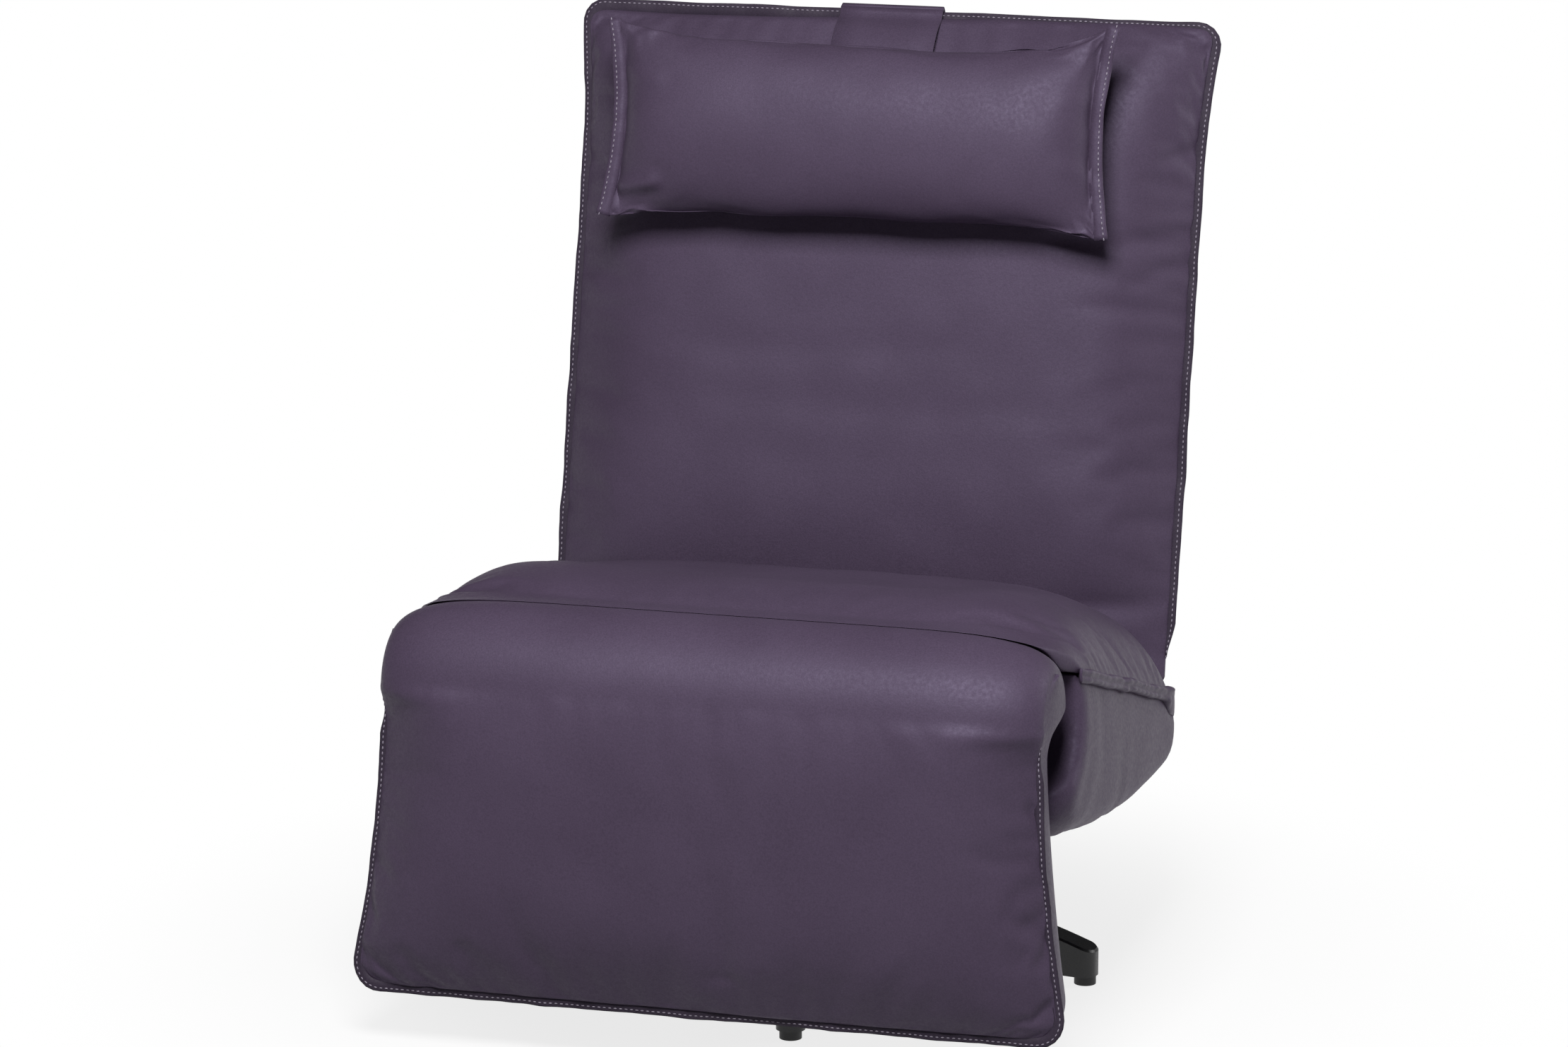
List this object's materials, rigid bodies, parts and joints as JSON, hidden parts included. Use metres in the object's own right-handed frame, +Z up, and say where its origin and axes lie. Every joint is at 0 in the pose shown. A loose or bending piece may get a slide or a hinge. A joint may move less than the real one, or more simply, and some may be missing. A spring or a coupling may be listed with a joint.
{
  "type": "recliner",
  "caption": "Upholstered swivel recliner with a reclining back, a fold-up leg rest and a strapped head pillow, on a low star base.",
  "frame": {"origin": "bottom centre of the bounding box, on the floor", "axes": "+Z up, -Y the way the sitter faces, +X the sitter's left"},
  "size_m": [0.734, 0.8211, 0.9684],
  "materials": {
    "upholstery": "satin",
    "webbing": "matte",
    "black_steel": "satin",
    "bare_steel": "satin",
    "black_plastic": "matte"
  },
  "bodies": {
    "base": {"base_hub": "black_steel", "base_arm_1": "black_steel", "base_arm_2": "black_steel", "base_arm_3": "black_steel", "base_arm_4": "black_steel", "base_arm_5": "black_steel", "foot_glides": "black_plastic", "hub_bottom_cap": "black_plastic", "column_tube": "black_steel", "column_bush": "black_plastic"},
    "seat": {"spindle": "bare_steel", "swivel_plate": "black_steel", "seat_carrier_front": "black_steel", "seat_carrier_rear": "black_steel", "swivel_bolts": "bare_steel", "seat_cheek_left": "black_steel", "seat_cheek_right": "black_steel", "seat_front_tube": "black_steel", "seat_rear_tube": "black_steel", "seat_webbing": "webbing", "knee_pin_left": "bare_steel", "knee_pin_right": "bare_steel", "back_pin_left": "bare_steel", "back_pin_right": "bare_steel", "seat_cushion": "upholstery", "seat_side_pad_left": "upholstery", "seat_side_pad_right": "upholstery", "seat_bottom_panel": "upholstery", "seat_front_apron": "upholstery", "seat_rear_apron": "upholstery"},
    "back": {"back_hinge_arm_left": "black_steel", "back_hinge_arm_right": "black_steel", "back_lower_tube": "black_steel", "back_frame": "black_steel", "back_brace_tube": "black_steel", "back_webbing": "webbing", "back_cushion": "upholstery", "back_rear_pad": "upholstery", "pillow_strap_top": "upholstery"},
    "legrest": {"legrest_hinge_arm_left": "black_steel", "legrest_hinge_arm_right": "black_steel", "legrest_cross_tube": "black_steel", "legrest_frame": "black_steel", "legrest_webbing": "webbing", "legrest_cushion": "upholstery", "legrest_rear_panel": "upholstery"},
    "pillow": {"head_pillow": "upholstery", "pillow_strap_front": "upholstery"},
    "counterweight": {"pillow_strap_rear": "upholstery", "counterweight_pouch": "upholstery", "counterweight_bar": "bare_steel"}
  },
  "joints": [
    {"name": "swivel", "type": "hinge", "parent": "base", "child": "seat", "pos_m": [0, 0.053, 0.13], "axis": [0, 0, 1], "continuous": true},
    {"name": "back_recline", "type": "hinge", "parent": "seat", "child": "back", "pos_m": [0, 0.21, 0.282], "axis": [-1, 0, 0], "range_deg": [0, 40]},
    {"name": "legrest_lift", "type": "hinge", "parent": "seat", "child": "legrest", "pos_m": [0, -0.327, 0.374], "axis": [-1, 0, 0], "range_deg": [0, 85]},
    {"name": "pillow_slide", "type": "slide", "parent": "back", "child": "pillow", "axis": [0, -0.2334, -0.9724], "range_m": [0, 0.1], "deforming": ["pillow_strap_front"]},
    {"name": "counterweight_slide", "type": "slide", "parent": "back", "child": "counterweight", "axis": [0, 0.2334, 0.9724], "range_m": [0, 0.1], "deforming": ["pillow_strap_rear"]}
  ],
  "couplings": [
    {"joint": "counterweight_slide", "follows": "pillow_slide", "ratio": 1}
  ]
}
